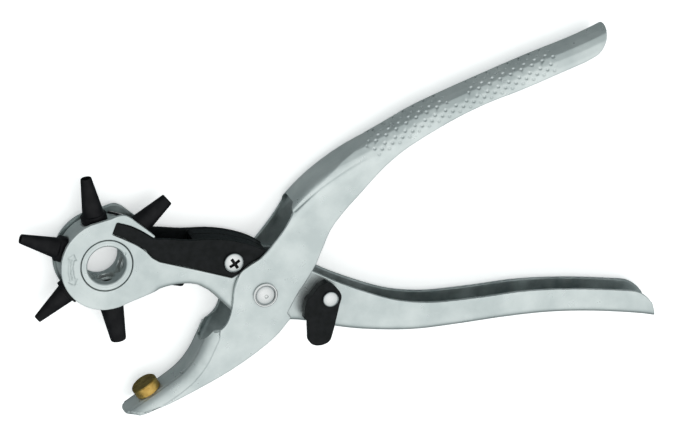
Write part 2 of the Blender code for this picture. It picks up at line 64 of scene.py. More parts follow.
HEAD_SHEET = 1.5
HEAD_BEND = 2.2
ANVIL_SHEET = 1.3
ANVIL_BEND = 4.0
GRIP_BEND = 7.8
COPLANAR = 0.04
HEAD_RADIUS = 15.6
BORE_R = 6.6
HUB_R = 8.7
DRUM_R = 14.6
DRUM_HALF = HEAD_HALF - HEAD_SHEET - GAP
PUNCH_REACH = 29.45
PUNCH_SEAT = 13.7
PUNCH_FIRST_ANGLE = 43.0
PUNCH_HOLES = (3.5, 3.0, 2.5, 2.0, 4.5, 4.0)
SWEEP_CLEAR = PUNCH_REACH + 1.2
DETENT_R = 12.1
DETENT_ANGLE = 66.8
BALL_R = 1.0
RIVET_R = 3.0
RIVET_HEAD_R = 4.15
SLEEVE_R = 3.95
WIRE_R = 0.75
COIL_R = 5.2
COIL_TURNS = 3
COIL_START = -98.0                         # degrees, where the leg on the handle leaves the coil
LEG_ANGLE = 150.0
LEG_END = (20.0, -9.5)
LEG_HOOK = (-0.75, 9.1)
WEB_ANGLE = 215.0
ANVIL_FOOT = (-36.55, -35.15)
ANVIL_R = 4.6
ANVIL_HEIGHT = 3.9
JAW_END = (-38.6, -36.58)
SCREW_HEAD_R = 3.4
SCREW_R = 1.75
LATCH_RIVET_R = 1.6
LATCH_LOW = ANVIL_HALF + GAP
LATCH_HIGH = LATCH_LOW + 3.6
LEVER_VOXEL = 0.22
THROUGH = 9.0                              # reach of a cutter that passes all of the stack


# ---------------------------------------------------------------- lines

def curve(points, per_span=8):
    """A smooth line through a few points."""
    points = [Vector(p) for p in points]
    padded = [2 * points[0] - points[1], *points, 2 * points[-1] - points[-2]]
    line = []
    for a, b, c, d in zip(padded, padded[1:], padded[2:], padded[3:]):
        ta = 0.0
        tb = ta + math.sqrt((b - a).length)
        tc = tb + math.sqrt((c - b).length)
        td = tc + math.sqrt((d - c).length)
        for step in range(per_span):
            t = tb + (tc - tb) * step / per_span
            ab = a.lerp(b, (t - ta) / (tb - ta))
            bc = b.lerp(c, (t - tb) / (tc - tb))
            cd = c.lerp(d, (t - tc) / (td - tc))
            abc = ab.lerp(bc, (t - ta) / (tc - ta))
            bcd = bc.lerp(cd, (t - tb) / (td - tb))
            line.append(abc.lerp(bcd, (t - tb) / (tc - tb)))
    return line + [points[-1]]


def arc(centre, radius, start, end, steps):
    angles = [math.radians(start + (end - start) * i / steps) for i in range(steps + 1)]
    return [Vector((centre[0] + radius * math.cos(a), centre[1] + radius * math.sin(a)))
            for a in angles]


def offset(line, distance):
    """The open line moved to its left by a distance."""
    moved = []
    for i, point in enumerate(line):
        along = line[min(i + 1, len(line) - 1)] - line[max(i - 1, 0)]
        moved.append(point + Vector((-along.y, along.x)).normalized() * distance)
    return moved


def polar(centre, radius, angle):
    a = math.radians(angle)
    return Vector((centre[0] + radius * math.cos(a), centre[1] + radius * math.sin(a)))


def filleted(corners, radius, closed=False, steps=4):
    """A line of corners with each corner rounded off."""
    corners = [Vector(c) for c in corners]
    count = len(corners)
    line = []
    for i, corner in enumerate(corners):
        if not closed and i in (0, count - 1):
            line.append(corner)
            continue
        before = corners[i - 1] - corner
        after = corners[(i + 1) % count] - corner
        opening = before.angle(after)
        if opening > math.radians(165):
            line.append(corner)
            continue
        back = min(radius / math.tan(opening / 2), before.length * 0.45, after.length * 0.45)
        start = corner + before.normalized() * back
        end = corner + after.normalized() * back
        for k in range(steps + 1):
            t = k / steps
            line.append(start.lerp(corner, t).lerp(corner.lerp(end, t), t))
    return line


# ---------------------------------------------------------------- solids

def place(mesh, name):
    thing = bpy.data.objects.new(name, mesh)
    bpy.context.scene.collection.objects.link(thing)
    return thing


def taken_from(guide):
    """The mesh of a curve object, in world coordinates; the curve itself is removed."""
    bpy.context.view_layer.update()
    graph = bpy.context.evaluated_depsgraph_get()
    mesh = bpy.data.meshes.new_from_object(guide.evaluated_get(graph))
    mesh.transform(guide.matrix_world)
    bpy.data.objects.remove(guide, do_unlink=True)
    return mesh


def applied(thing):
    """The object with its modifiers made part of its mesh, and their cutters removed."""
    cutters = [m.object for m in thing.modifiers if m.type == "BOOLEAN"]
    bpy.context.view_layer.update()
    graph = bpy.context.evaluated_depsgraph_get()
    mesh = bpy.data.meshes.new_from_object(thing.evaluated_get(graph))
    mesh.transform(thing.matrix_world)
    thing.modifiers.clear()
    thing.data = mesh
    thing.matrix_world = Matrix.Identity(4)
    for cutter in cutters:
        bpy.data.objects.remove(cutter, do_unlink=True)
    return thing


def prism(name, outline, low, high):
    """A flat outline extruded from low to high, both measured from the middle plane."""
    flat = bpy.data.curves.new(name, "CURVE")
    flat.dimensions = "2D"
    flat.fill_mode = "BOTH"
    flat.extrude = (high - low) / 2 * MM
    spline = flat.splines.new("POLY")
    spline.points.add(len(outline) - 1)
    for point, corner in zip(spline.points, outline):
        point.co = (corner[0] * MM, corner[1] * MM, 0.0, 1.0)
    spline.use_cyclic_u = True
    guide = place(flat, name)
    guide.location.z = (MID_Z + (low + high) / 2) * MM
    solid = taken_from(guide)
    welded = bmesh.new()
    welded.from_mesh(solid)
    bmesh.ops.remove_doubles(welded, verts=welded.verts, dist=1e-6)
    bmesh.ops.dissolve_limit(welded, angle_limit=math.radians(0.05), verts=welded.verts,
                             edges=welded.edges)
    bmesh.ops.recalc_face_normals(welded, faces=welded.faces)
    welded.to_mesh(solid)
    welded.free()
    solid.materials.clear()
    return place(solid, name)


def rounded(thing, radius, segments):
    bevel = thing.modifiers.new("bend", "BEVEL")
    bevel.limit_method = "ANGLE"
    bevel.angle_limit = math.radians(70)
    bevel.width = radius * MM
    bevel.segments = segments
    bevel.use_clamp_overlap = False
    return applied(thing)


def turned(name, profile, centre=(0, 0), low=0.0, steps=96, closed=False):
    """A profile of (radius, height) turned about an axis along Z."""
    mesh = bpy.data.meshes.new(name)
    points = [(r * MM, 0.0, h * MM) for r, h in profile]
    edges = [(i, i + 1) for i in range(len(points) - 1)]
    if closed:
        edges.append((len(points) - 1, 0))
    mesh.from_pydata(points, edges, [])
    thing = place(mesh, name)
    thing.location = (centre[0] * MM, centre[1] * MM, (MID_Z + low) * MM)
    screw = thing.modifiers.new("turn", "SCREW")
    screw.steps = steps
    screw.render_steps = steps
    screw.use_merge_vertices = True
    screw.merge_threshold = 0.000002
    return applied(thing)


def tipped(thing, centre, direction):
    """Turn a piece made along +Z about its foot, so that it points along a direction in XY."""
    a = math.radians(direction)
    foot = Vector((centre[0], centre[1], MID_Z)) * MM
    lie = Vector((math.cos(a), math.sin(a), 0)).to_track_quat("Z", "Y").to_matrix().to_4x4()
    thing.data.transform(Matrix.Translation(foot) @ lie @ Matrix.Translation(-foot))
    return thing


def peg(name, centre, radius, low, high, steps=64):
    return turned(name, [(0, high), (radius, high), (radius, low), (0, low)], centre, steps=steps)


def cut(thing, cutter, operation="DIFFERENCE"):
    boolean = thing.modifiers.new("cut", "BOOLEAN")
    boolean.operation = operation
    boolean.solver = "EXACT"
    boolean.object = cutter


def remeshed(thing, voxel, smooth=4, keep=0.4, shape=None):
    """An even skin over the solid, its edges rounded; shape moves its points, in millimetres."""
    remesh = applied(thing).modifiers.new("skin", "REMESH")
    remesh.mode = "VOXEL"
    remesh.voxel_size = voxel * MM
    relax = thing.modifiers.new("relax", "SMOOTH")
    relax.factor = 0.5
    relax.iterations = smooth
    thing = applied(thing)
    if shape:
        count = len(thing.data.vertices)
        flat = np.empty(count * 3)
        thing.data.vertices.foreach_get("co", flat)
        normals = np.empty(count * 3)
        thing.data.vertices.foreach_get("normal", normals)
        points = flat.reshape(-1, 3) / MM
        points[:, 2] -= MID_Z
        moved = shape(points, normals.reshape(-1, 3))
        moved[:, 2] += MID_Z
        thing.data.vertices.foreach_set("co", (moved * MM).ravel())
        thing.data.update()
    if keep < 1:
        thin = thing.modifiers.new("thin", "DECIMATE")
        thin.ratio = keep
        thing = applied(thing)
    return thing


def finished(thing, body, node, skin, crease=35.0, lining=None, lined=None):
    """Shade and weight the normals, give the finish, and put the piece in its node's stead.

    A lining is a second material, for the faces that the function lined picks out; here it paints
    shade into channels and recesses.
    """
    thing.name = node + "_look"
    thing.data.name = thing.name
    thing.data.materials.clear()
    thing.data.materials.append(skin)
    if lining:
        thing.data.materials.append(lining)
        count = len(thing.data.polygons)
        flat = np.empty(count * 3)
        thing.data.polygons.foreach_get("center", flat)
        normals = np.empty(count * 3)
        thing.data.polygons.foreach_get("normal", normals)
        centres = flat.reshape(-1, 3) / MM
        centres[:, 2] -= MID_Z
        picked = lined(centres, normals.reshape(-1, 3)).astype(np.int32)
        thing.data.polygons.foreach_set("material_index", picked)
    thing.data.shade_smooth()
    thing.data.set_sharp_from_angle(angle=math.radians(crease))
    weigh = thing.modifiers.new("weigh", "WEIGHTED_NORMAL")
    weigh.keep_sharp = True
    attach(thing, body)
    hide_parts(node)
    return thing


# ---------------------------------------------------------------- finishes

def nodes_of(name):
    made = bpy.data.materials.new(name)
    made.use_nodes = True
    tree = made.node_tree
    shader = tree.nodes["Principled BSDF"]
    return made, tree, shader


def noise(tree, scale, detail=4.0, stretch=None, roughness=0.55):
    """Noise over the piece's own coordinates; scale is in features per metre."""
    coordinates = tree.nodes.new("ShaderNodeTexCoord")
    made = tree.nodes.new("ShaderNodeTexNoise")
    made.inputs["Scale"].default_value = scale
    made.inputs["Detail"].default_value = detail
    made.inputs["Roughness"].default_value = roughness
    source = coordinates.outputs["Object"]
    if stretch:
        mapping = tree.nodes.new("ShaderNodeMapping")
        mapping.inputs["Scale"].default_value = stretch
        tree.links.new(source, mapping.inputs["Vector"])
        source = mapping.outputs["Vector"]
    tree.links.new(source, made.inputs["Vector"])
    return made.outputs["Fac"]


def ramp(tree, factor, *stops):
    """A colour ramp; each stop is (place, colour)."""
    made = tree.nodes.new("ShaderNodeValToRGB")
    band = made.color_ramp
    while len(band.elements) < len(stops):
        band.elements.new(0.5)
    for element, (place_at, colour) in zip(band.elements, stops):
        element.position = place_at
        element.color = (*colour, 1.0)
    tree.links.new(factor, made.inputs["Fac"])
    return made.outputs["Color"]


def spread(tree, factor, low, high, start=0.3, end=0.7):
    """The factor's middle stretched to run from low to high."""
    made = tree.nodes.new("ShaderNodeMapRange")
    made.inputs["From Min"].default_value = start
    made.inputs["From Max"].default_value = end
    made.inputs["To Min"].default_value = low
    made.inputs["To Max"].default_value = high
    tree.links.new(factor, made.inputs["Value"])
    return made.outputs["Result"]


def bumps(tree, shader, height, depth, strength=1.0, under=None):
    """Relief of a depth in millimetres."""
    made = tree.nodes.new("ShaderNodeBump")
    made.inputs["Distance"].default_value = depth * MM
    made.inputs["Strength"].default_value = strength
    tree.links.new(height, made.inputs["Height"])
    if under:
        tree.links.new(under, made.inputs["Normal"])
    tree.links.new(made.outputs["Normal"], shader.inputs["Normal"])
    return made.outputs["Normal"]


def plated(name, light, dark, smooth, rough, relief=0.012, metallic=1.0):
    """Polished plate over pressed sheet: faint clouds, fine brushing and orange peel."""
    made, tree, shader = nodes_of(name)
    shader.inputs["Metallic"].default_value = metallic
    tree.links.new(ramp(tree, noise(tree, 90, 5), (0.35, dark), (0.65, light)),
                   shader.inputs["Base Color"])
    tree.links.new(spread(tree, noise(tree, 260, 6), smooth, rough), shader.inputs["Roughness"])
    peel = bumps(tree, shader, noise(tree, 700, 3), relief)
    bumps(tree, shader, noise(tree, 900, 2, stretch=(0.15, 1.0, 1.0)), relief / 3, under=peel)
    return made


def blackened(name, light, dark, smooth, rough, relief, grain, metallic=0.0, specular=0.5):
    made, tree, shader = nodes_of(name)
    shader.inputs["Metallic"].default_value = metallic
    shader.inputs["Specular IOR Level"].default_value = specular
    tree.links.new(ramp(tree, noise(tree, grain / 3, 5), (0.35, dark), (0.7, light)),
                   shader.inputs["Base Color"])
    tree.links.new(spread(tree, noise(tree, grain, 4), smooth, rough), shader.inputs["Roughness"])
    bumps(tree, shader, noise(tree, grain * 2, 3), relief)
    return made


PLATED = plated("plated_steel_look", (0.66, 0.71, 0.70), (0.53, 0.585, 0.58), 0.26, 0.40,
                metallic=0.72)
BRIGHT = plated("bright_steel_look", (0.80, 0.81, 0.80), (0.70, 0.71, 0.71), 0.12, 0.22, 0.006)
# Rougher plate for the plates' inner faces; its darker colour is painted shade inside the channels
INSIDE_SHADE = plated("rough_steel_painted_shade_look", (0.40, 0.45, 0.45), (0.20, 0.24, 0.24), 0.42, 0.60, 0.03)
WIRE = plated("spring_steel_look", (0.36, 0.36, 0.37), (0.26, 0.26, 0.27), 0.28, 0.38)
# Black oxide of the punches; the same black is also painted shade in the screw's sunk cross
OXIDE_AND_SHADE = blackened("black_oxide_and_painted_shade_look", (0.010, 0.010, 0.011), (0.004, 0.004, 0.005), 0.30, 0.44,
                  0.012, 900, specular=0.12)
PLASTIC = blackened("black_plastic_look", (0.008, 0.009, 0.010), (0.003, 0.004, 0.004), 0.34, 0.50,
                    0.02, 1400, specular=0.14)


def brass_finish():
    made, tree, shader = nodes_of("brass_look")
    shader.inputs["Metallic"].default_value = 1.0
    colour = ramp(tree, noise(tree, 420, 5), (0.3, (0.42, 0.24, 0.05)), (0.7, (0.78, 0.53, 0.16)))
    tree.links.new(colour, shader.inputs["Base Color"])
    tree.links.new(spread(tree, noise(tree, 900, 4), 0.24, 0.40), shader.inputs["Roughness"])
    bumps(tree, shader, noise(tree, 1500, 3), 0.02)
    return made


BRASS = brass_finish()


# ---------------------------------------------------------------- inner lever

HANDLE_BELOW = [(10.4, -10.5), (17.0, -11.5), (27.0, -13.9), (37.0, -15.4), (53.0, -16.3),
                (69.0, -15.2), (85.0, -13.6), (101.0, -12.7), (117.0, -13.2), (134.0, -15.0),
                (139.0, -15.9)]
HANDLE_ABOVE = [(137.6, -11.0), (135.4, -8.6), (132.0, -6.6), (125.0, -5.6), (108.0, -4.3),
                (92.0, -4.2), (76.0, -5.6), (60.0, -6.5), (51.0, -5.8), (43.5, -4.2),
                (27.0, 1.9), (16.5, 7.0), (8.0, 11.2), (0.5, 12.6), (-4.5, 10.8), (-8.8, 7.2)]
ARM_BELOW = [(-47.4, -1.5), (-42.5, 0.4), (-37.5, 2.2), (-32.6, 3.6), (-27.5, 4.2),
             (-23.0, 3.6), (-19.0, 1.6)]
ARM_STEP = [(-16.9, -0.1), (-11.4, -5.4)]
UNDER_PIVOT = [(-8.6, -7.7), (-4.0, -9.9), (3.0, -10.7)]
WEB_START_X = -22.5
ARROW_R = 12.4
ARROW_MIDDLE = 184.0
ARROW_HALF = 17.0
ARROW_HEAD = 9.0
ARROW_SPREAD = 0.5                         # its two lines' distance from its middle
ARROW_LINE = 0.32
ARROW_BARB = 1.75
ARROW_RELIEF = 0.45
SLOT_FLOOR = [(-52.9, 23.3), (-48.3, 21.1), (-44.1, 18.9), (-41.0, 16.6), (-38.9, 14.4),
              (-36.3, 12.8)]
COVER_FLOOR = [(-23.2, 9.3), (-11.2, 5.9)]
SLOT_ROOF = [(-38.6, 21.3), (-42.6, 23.9), (-46.4, 25.9), (-51.5, 27.5)]
HEAD_CROWN = [(-38.2, 22.0), (-41.3, 24.6), (-44.4, 27.0), (-47.2, 29.1), (-49.6, 29.9),
              (-54.0, 28.6)]

arm_line = curve(ARM_BELOW) + [Vector(p) for p in ARM_STEP] + curve(UNDER_PIVOT + HANDLE_BELOW)


def head_outline():
    round_end = arc(TURRET, HEAD_RADIUS, 112, 294, 72)
    return (arm_line + curve(HANDLE_ABOVE) + [Vector(p) for p in reversed(COVER_FLOOR)]
            + curve(SLOT_FLOOR)[::-1] + curve(SLOT_ROOF)[::-1] + curve(HEAD_CROWN) + round_end)


def make_head_lever():
    web = [p for p in arm_line if p.x > -36]
    above = [Vector((145, -16.9)), Vector((150, -10)), Vector((150, 40)), Vector((-80, 60)),
             Vector((-80, -30)), Vector((-46, -30)), Vector((-46, -6))]
    lever = rounded(prism("head_lever", web + above, -HEAD_HALF, HEAD_HALF), HEAD_BEND, 8)
    cut(lever, prism("outline", head_outline(), -HEAD_HALF - 2, HEAD_HALF + 2), "INTERSECT")
    inside = HEAD_HALF - HEAD_SHEET
    lining = [p for p in offset(arm_line, HEAD_SHEET) if p.x > WEB_START_X]
    cavity = [Vector((WEB_START_X, -40)), *lining, Vector((150, -16.4)), Vector((150, 60)),
              Vector((-90, 60)), Vector((-90, -40))]
    cut(lever, rounded(prism("cavity", cavity, -inside, inside), HEAD_BEND - HEAD_SHEET, 4))
    cut(lever, peg("hub_seat", TURRET, HUB_R + GAP, -THROUGH, THROUGH, 128))
    cut(lever, peg("pivot_hole", (0, 0), RIVET_R + GAP, -THROUGH, THROUGH))
    cut(lever, peg("latch_hole", LATCH, LATCH_RIVET_R + GAP, -THROUGH, THROUGH))
    hook = Vector(LEG_HOOK)
    rest = math.degrees(math.atan2(hook.y, hook.x))
    half = WIRE_R + GAP
    slot = (arc((0, 0), hook.length + half, rest - 28, rest + 8, 24)
            + arc((0, 0), hook.length - half, rest + 8, rest - 28, 24))
    cut(lever, prism("spring_slot", slot, -THROUGH, -inside + 1))
    return remeshed(lever, LEVER_VOXEL, smooth=8, shape=turn_arrow)


def near_line(points, line):
    """For each point: its distance to a line, and how far along the line its foot is."""
    nearest = np.full(len(points), 1e9)
    along = np.zeros(len(points))
    passed = 0.0
    for start, end in zip(line, line[1:]):
        step = np.array(end - start)
        length = float(np.linalg.norm(step))
        reach = points[:, :2] - np.array(start)
        share = np.clip(reach @ step / length ** 2, 0.0, 1.0)
        away = np.linalg.norm(reach - share[:, None] * step, axis=1)
        closer = away < nearest
        nearest[closer] = away[closer]
        along[closer] = passed + share[closer] * length
        passed += length
    return nearest, along


def turn_arrow(points, _normals):
    """Raise a curved arrow with two heads on the front plate, beside the turret."""
    away = points[:, :2] - np.array(TURRET)
    radius = np.hypot(away[:, 0], away[:, 1])
    angle = np.degrees(np.arctan2(away[:, 1], away[:, 0])) % 360
    beside = np.abs(radius - ARROW_R)
    past_end = np.abs(angle - ARROW_MIDDLE) - ARROW_HALF
    tip = past_end / ARROW_HEAD
    in_shaft = (past_end < 0) & (np.abs(beside - ARROW_SPREAD) < ARROW_LINE)
    in_head = (past_end >= 0) & (tip < 1) & (beside < ARROW_BARB * (1 - tip))
    raised = (in_shaft | in_head) & (points[:, 2] > HEAD_HALF - 0.3)
    points[raised, 2] += ARROW_RELIEF
    return points


# ---------------------------------------------------------------- outer lever

GRIP_ABOVE = [(117.4, 87.3), (111.9, 84.6), (104.9, 81.6), (90.8, 76.4), (76.8, 70.8),
              (62.8, 65.0), (48.9, 58.7), (35.0, 50.1), (21.3, 40.8), (14.5, 35.0), (9.6, 29.6)]
GRIP_END = [(116.2, 91.0), (115.9, 88.2), (115.5, 85.0), (114.4, 82.1), (112.4, 79.5),
            (108.0, 76.9)]
GRIP_BELOW = [(100.6, 73.9), (86.6, 68.3), (72.6, 63.2), (58.8, 56.5), (45.5, 48.3), (38.6, 42.2),
              (31.5, 34.2), (25.8, 27.6), (21.8, 21.8), (19.4, 15.6), (17.4, 10.3), (15.0, 5.4),
              (11.0, -1.2), (8.2, -6.9)]
JAW_BELOW = [(9.5, -8.7), (4.7, -14.8), (-2.1, -20.6), (-11.1, -26.7), (-20.3, -31.8),
             (-26.4, -34.9), (-31.2, -37.2), (-36.0, -39.2), (-41.0, -41.4), (-48.0, -44.6)]
JAW_FACE = [(-17.6, -11.4), (-20.0, -17.0), (-22.0, -21.6), (-24.3, -25.2), (-26.9, -28.1),
            (-29.8, -30.4), (-33.0, -32.68), (-36.55, -35.15), (-41.0, -38.27), (-50.0, -44.57)]
CHEEK_LEFT = [(-17.4, -12.6), (-14.8, -11.9), (-12.9, -10.0), (-11.6, -6.7), (-10.9, -2.0),
              (-10.7, 1.8), (-10.0, 4.9), (-8.7, 8.0), (-5.8, 10.4), (-2.2, 12.7), (0.3, 15.2),
              (2.6, 18.2), (5.0, 21.5), (7.0, 24.8), (8.6, 28.0)]
SCOOP = (-18.0, -11.6)
SCOOP_R = 6.1
GRIP_CROWN = 1.3
WINDOW_DRIFT = 3.5
DRIFT_FROM_X = 45.0
PAST_WALL = 3.0
STEM_R = 2.0

# Crease where the round back runs into the flat cheek, and the grip's dimples
CREASE = [(9.2, 29.0), (13.6, 33.2), (18.3, 37.2), (25.7, 42.1), (32.7, 46.3)]
CREASE_DEPTH = 0.45
CREASE_WIDTH = 0.5
CREASE_FADE = 29.0                         # length over which it runs out
FOLD_LEAN = math.radians(50)               # the jaw's fold is nearly a flat bevel at this lean
FOLD_SHARE = 0.55
SEAM_DEPTH = 0.4
SEAM_WIDTH = 0.4
SEAM_INSET = 0.1                           # how far the seam lies from where the fold starts
JAW_TOP = -12.0                            # the fold's work stays below this, along Y
DIMPLE_PITCH = 3.9
DIMPLE_STAGGER = 0.55
DIMPLE_R = 0.66
DIMPLE_DEPTH = 0.34
LOW_ROWS = (18.0, 27.0, 36.0)              # degrees round the back, from the front face
LOW_REACH = ((35.5, 98.0),)                # from and to, along X
HIGH_ROWS = (53.0, 64.0, 76.0, 88.0)
HIGH_REACH = ((33.5, 61.0), (68.0, 97.5))

grip_line = offset(curve(GRIP_ABOVE, 3), -GRIP_CROWN)
jaw_line = curve(JAW_FACE, 3)


def anvil_outline():
    above = [p for p in offset(grip_line, -PAST_WALL) if p.x < GRIP_END[0][0] - 1.0]
    beside = offset(jaw_line, -PAST_WALL)
    return (above[-2::-1] + curve(GRIP_END) + curve(GRIP_BELOW)
            + curve(JAW_BELOW) + beside[::-1] + curve(CHEEK_LEFT))


def drifted(line):
    """The handle's back line, moved out near the window, where the round back grows tighter."""
    moved = []
    for point, outer in zip(line, offset(line, -WINDOW_DRIFT)):
        share = min(max((DRIFT_FROM_X - point.x) / (DRIFT_FROM_X - line[-1].x), 0.0), 1.0)
        moved.append(point.lerp(outer, share * share * (3 - 2 * share)))
    return moved


def round_back(name, back, half, bend):
    """Block that gives the handle its round back."""
    back = drifted(back)
    outward = Vector((-0.74, 0.67)) * 60
    outline = [Vector((132, 93)), *back, back[-1] + outward, Vector((-70, 70)), Vector((-70, -80)),
               Vector((170, -80)), Vector((170, 80))]
    return rounded(prism(name, outline, -half, half), bend, 5)


def worked_grip(points, normals):
    """Press the dimples and the crease into the handle, and the fold and its seam into the jaw."""
    depth, along = near_line(points, drifted(grip_line))
    outer = GRIP_BEND - depth
    side = np.abs(points[:, 2]) - (ANVIL_HALF - GRIP_BEND)
    skin = np.hypot(np.maximum(outer, 0.0), side)
    turn = np.degrees(np.arctan2(outer, side))
    outside = (np.abs(skin - GRIP_BEND) < 0.6) & (points[:, 0] > 20)
    press = np.zeros(len(points))
    bands = [(row, LOW_REACH) for row in LOW_ROWS] + [(row, HIGH_REACH) for row in HIGH_ROWS]
    for index, (row, reaches) in enumerate(bands):
        aside = np.radians(turn - row) * GRIP_BEND
        start = DIMPLE_PITCH * DIMPLE_STAGGER * index
        ahead = (along - start + DIMPLE_PITCH / 2) % DIMPLE_PITCH - DIMPLE_PITCH / 2
        held = np.zeros(len(points), bool)
        for low, high in reaches:
            held |= (points[:, 0] > low) & (points[:, 0] < high)
        away = np.hypot(aside, ahead) / DIMPLE_R
        dent = np.clip(1 - away ** 2, 0.0, 1.0)
        press = np.maximum(press, np.where(held & outside, dent, 0.0) * DIMPLE_DEPTH)
    inset = near_line(points, jaw_line)[0]
    level = np.abs(points[:, 2]) - (ANVIL_HALF - ANVIL_BEND)
    beyond = ANVIL_BEND - inset
    lean = np.arctan2(level, beyond)
    bend_r = np.hypot(level, beyond)
    on_bend = ((np.abs(bend_r - ANVIL_BEND) < 0.5) & (level > -0.2) & (beyond > 0)
               & (points[:, 0] < -15) & (points[:, 1] < JAW_TOP))
    flat = ANVIL_BEND * (1 - math.cos(FOLD_LEAN) / np.cos(np.clip(lean - FOLD_LEAN, -1.0, 1.0)))
    press = np.maximum(press, np.where(on_bend, np.clip(flat, 0.0, 2.0) * FOLD_SHARE, 0.0))
    on_web = (inset < 0.8) & (points[:, 0] < -16) & (points[:, 1] < JAW_TOP)
    seam = np.exp(-((level + SEAM_INSET) / SEAM_WIDTH) ** 2) * SEAM_DEPTH
    press = np.maximum(press, np.where(on_web, seam, 0.0))
    gap, run = near_line(points, curve(CREASE))
    fade = np.clip(1.15 - run / CREASE_FADE, 0.0, 1.0)
    flank = np.exp(-(gap / CREASE_WIDTH) ** 2) * fade * CREASE_DEPTH
    on_face = (np.abs(points[:, 2]) > ANVIL_HALF - 1.2) & (points[:, 0] < 36)
    press = np.maximum(press, np.where(on_face, flank, 0.0))
    return points - normals * press[:, None]


def end_trimmer(name, centre, direction):
    """Everything past a lever's end but for a half-round of the lever's own width."""
    reach = 14.0
    block = [(0, -reach), (reach + 6, -reach), (reach + 6, reach), (0, reach)]
    half_round = arc((0, 0), ANVIL_HALF, 90, -90, 40)
    outline = [Vector(p) for p in block] + [Vector((0, ANVIL_HALF))] + half_round[1:]
    trimmer = prism(name, outline, -12, 12)
    a = math.radians(direction)
    lift = Matrix.Translation(Vector((centre[0], centre[1], MID_Z)) * MM)
    along = Vector((math.cos(a), math.sin(a), 0))
    across = Vector((0, 0, 1))
    turn = Matrix((along, across, along.cross(across))).transposed().to_4x4()
    trimmer.data.transform(lift @ turn @ Matrix.Translation((0, 0, -MID_Z * MM)))
    return trimmer


def make_anvil_lever():
    far = [Vector((125.5, 92.0)), *offset(grip_line, -COPLANAR), Vector((-2, 16)),
           Vector((-20, 14)), Vector((-24, 2)), Vector((-16.0, -7.6)), *jaw_line,
           Vector((-58, -50.2)), Vector((-50, -60)), Vector((20, -40)), Vector((60, 20)),
           Vector((140, 70))]
    half = ANVIL_HALF + COPLANAR
    lever = rounded(prism("anvil_lever", far, -half, half), ANVIL_BEND + COPLANAR, 12)
    cut(lever, round_back("handle_back", grip_line, ANVIL_HALF, GRIP_BEND), "INTERSECT")
    cut(lever, prism("outline", anvil_outline(), -ANVIL_HALF - 2, ANVIL_HALF + 2), "INTERSECT")
    inside = ANVIL_HALF - ANVIL_SHEET
    grip_lining = offset(grip_line, ANVIL_SHEET)
    cavity = [Vector((126, 91)), *offset(grip_lining, -COPLANAR), Vector((6, 34)),
              Vector((-40, 34)), Vector((-40, -2)), *offset(jaw_line, ANVIL_SHEET),
              Vector((-60, -51)), Vector((-50, -70)), Vector((30, -50)), Vector((70, 10)),
              Vector((150, 70))]
    half = inside + COPLANAR
    lining = rounded(prism("cavity", cavity, -half, half), ANVIL_BEND - ANVIL_SHEET + COPLANAR, 3)
    tight = GRIP_BEND - ANVIL_SHEET
    cut(lining, round_back("handle_lining", grip_lining, inside, tight), "INTERSECT")
    cut(lever, applied(lining))
    cut(lever, peg("pivot_hole", (0, 0), RIVET_R + GAP, -THROUGH, THROUGH))
    cut(lever, peg("hook_hole", LEG_HOOK, WIRE_R + GAP, -THROUGH, -6, 32))
    scoop = turned("scoop", [(0, 8), (SCOOP_R, 8), (SCOOP_R, -8), (0, -8)], SCOOP, steps=72)
    cut(lever, tipped(scoop, SCOOP, WEB_ANGLE - 60))
    cut(lever, end_trimmer("jaw_trimmer", JAW_END, WEB_ANGLE))
    radius = STEM_R + GAP
    stem = turned("stem_hole", [(0, 6), (radius, 6), (radius, -6), (0, -6)], ANVIL_FOOT, steps=48)
    cut(lever, tipped(stem, ANVIL_FOOT, WEB_ANGLE - 90))
    return remeshed(lever, LEVER_VOXEL, smooth=8, shape=worked_grip)


# ---------------------------------------------------------------- turret and punches

def make_turret():
    groove_in = DETENT_R - BALL_R - 0.25
    groove_out = DETENT_R + BALL_R + 0.2
    floor = DRUM_HALF - 0.95
    ring = 7.75
    profile = [(BORE_R, HEAD_HALF - 0.45), (BORE_R + 0.45, HEAD_HALF), (ring - 0.15, HEAD_HALF),
               (ring, HEAD_HALF - 0.15), (ring + 0.15, HEAD_HALF), (HUB_R, HEAD_HALF),
               (HUB_R, DRUM_HALF), (groove_in, DRUM_HALF),
               (groove_in, floor), (groove_out, floor), (groove_out, DRUM_HALF),
               (DRUM_R, DRUM_HALF), (DRUM_R, -DRUM_HALF), (HUB_R, -DRUM_HALF),
               (HUB_R, -HEAD_HALF), (BORE_R + 0.45, -HEAD_HALF), (BORE_R, -HEAD_HALF + 0.45)]
    profile = filleted(profile, 0.25, closed=True, steps=3)
    drum = turned("drum", profile, TURRET, steps=144, closed=True)
    socket = [(0, 20), (4.7, 20), (4.7, PUNCH_SEAT), (2.9, PUNCH_SEAT), (2.9, 8.3), (3.3, 8.1),
              (3.3, 3.0), (0, 3.0)]
    for i in range(6):
        bore = turned(f"socket_{i}", socket, TURRET, steps=64)
        cut(drum, tipped(bore, TURRET, PUNCH_FIRST_ANGLE + 60 * i))
        spot = polar(TURRET, DETENT_R, DETENT_ANGLE + 60 * i)
        cut(drum, peg(f"dimple_{i}", spot, 0.6, floor - 0.4, floor + 0.3, 24))
    cut(drum, peg("index_mark", polar(TURRET, 7.2, 33), 0.42, HEAD_HALF - 0.5, HEAD_HALF + 1, 24))
    return remeshed(drum, 0.16, smooth=2)


def make_punch(hole, angle):
    edge = hole / 2 + 0.3
    root = 2.9 + 0.25 * hole
    bore = hole / 2
    relief = min(bore + 0.5, 2.1)
    profile = [(bore, PUNCH_REACH), (edge, PUNCH_REACH), (edge + 0.12, PUNCH_REACH - 0.5),
               (root, 16.6), (4.4, 16.4), (4.4, 14.0),
               (2.6, 14.0), (2.6, 8.6), (relief, 8.6), (relief, 20.0), (bore, 22.0)]
    profile = filleted(profile, 0.22, closed=True, steps=3)
    return tipped(turned("punch", profile, TURRET, steps=72, closed=True), TURRET, angle)


# ---------------------------------------------------------------- pivot and spring

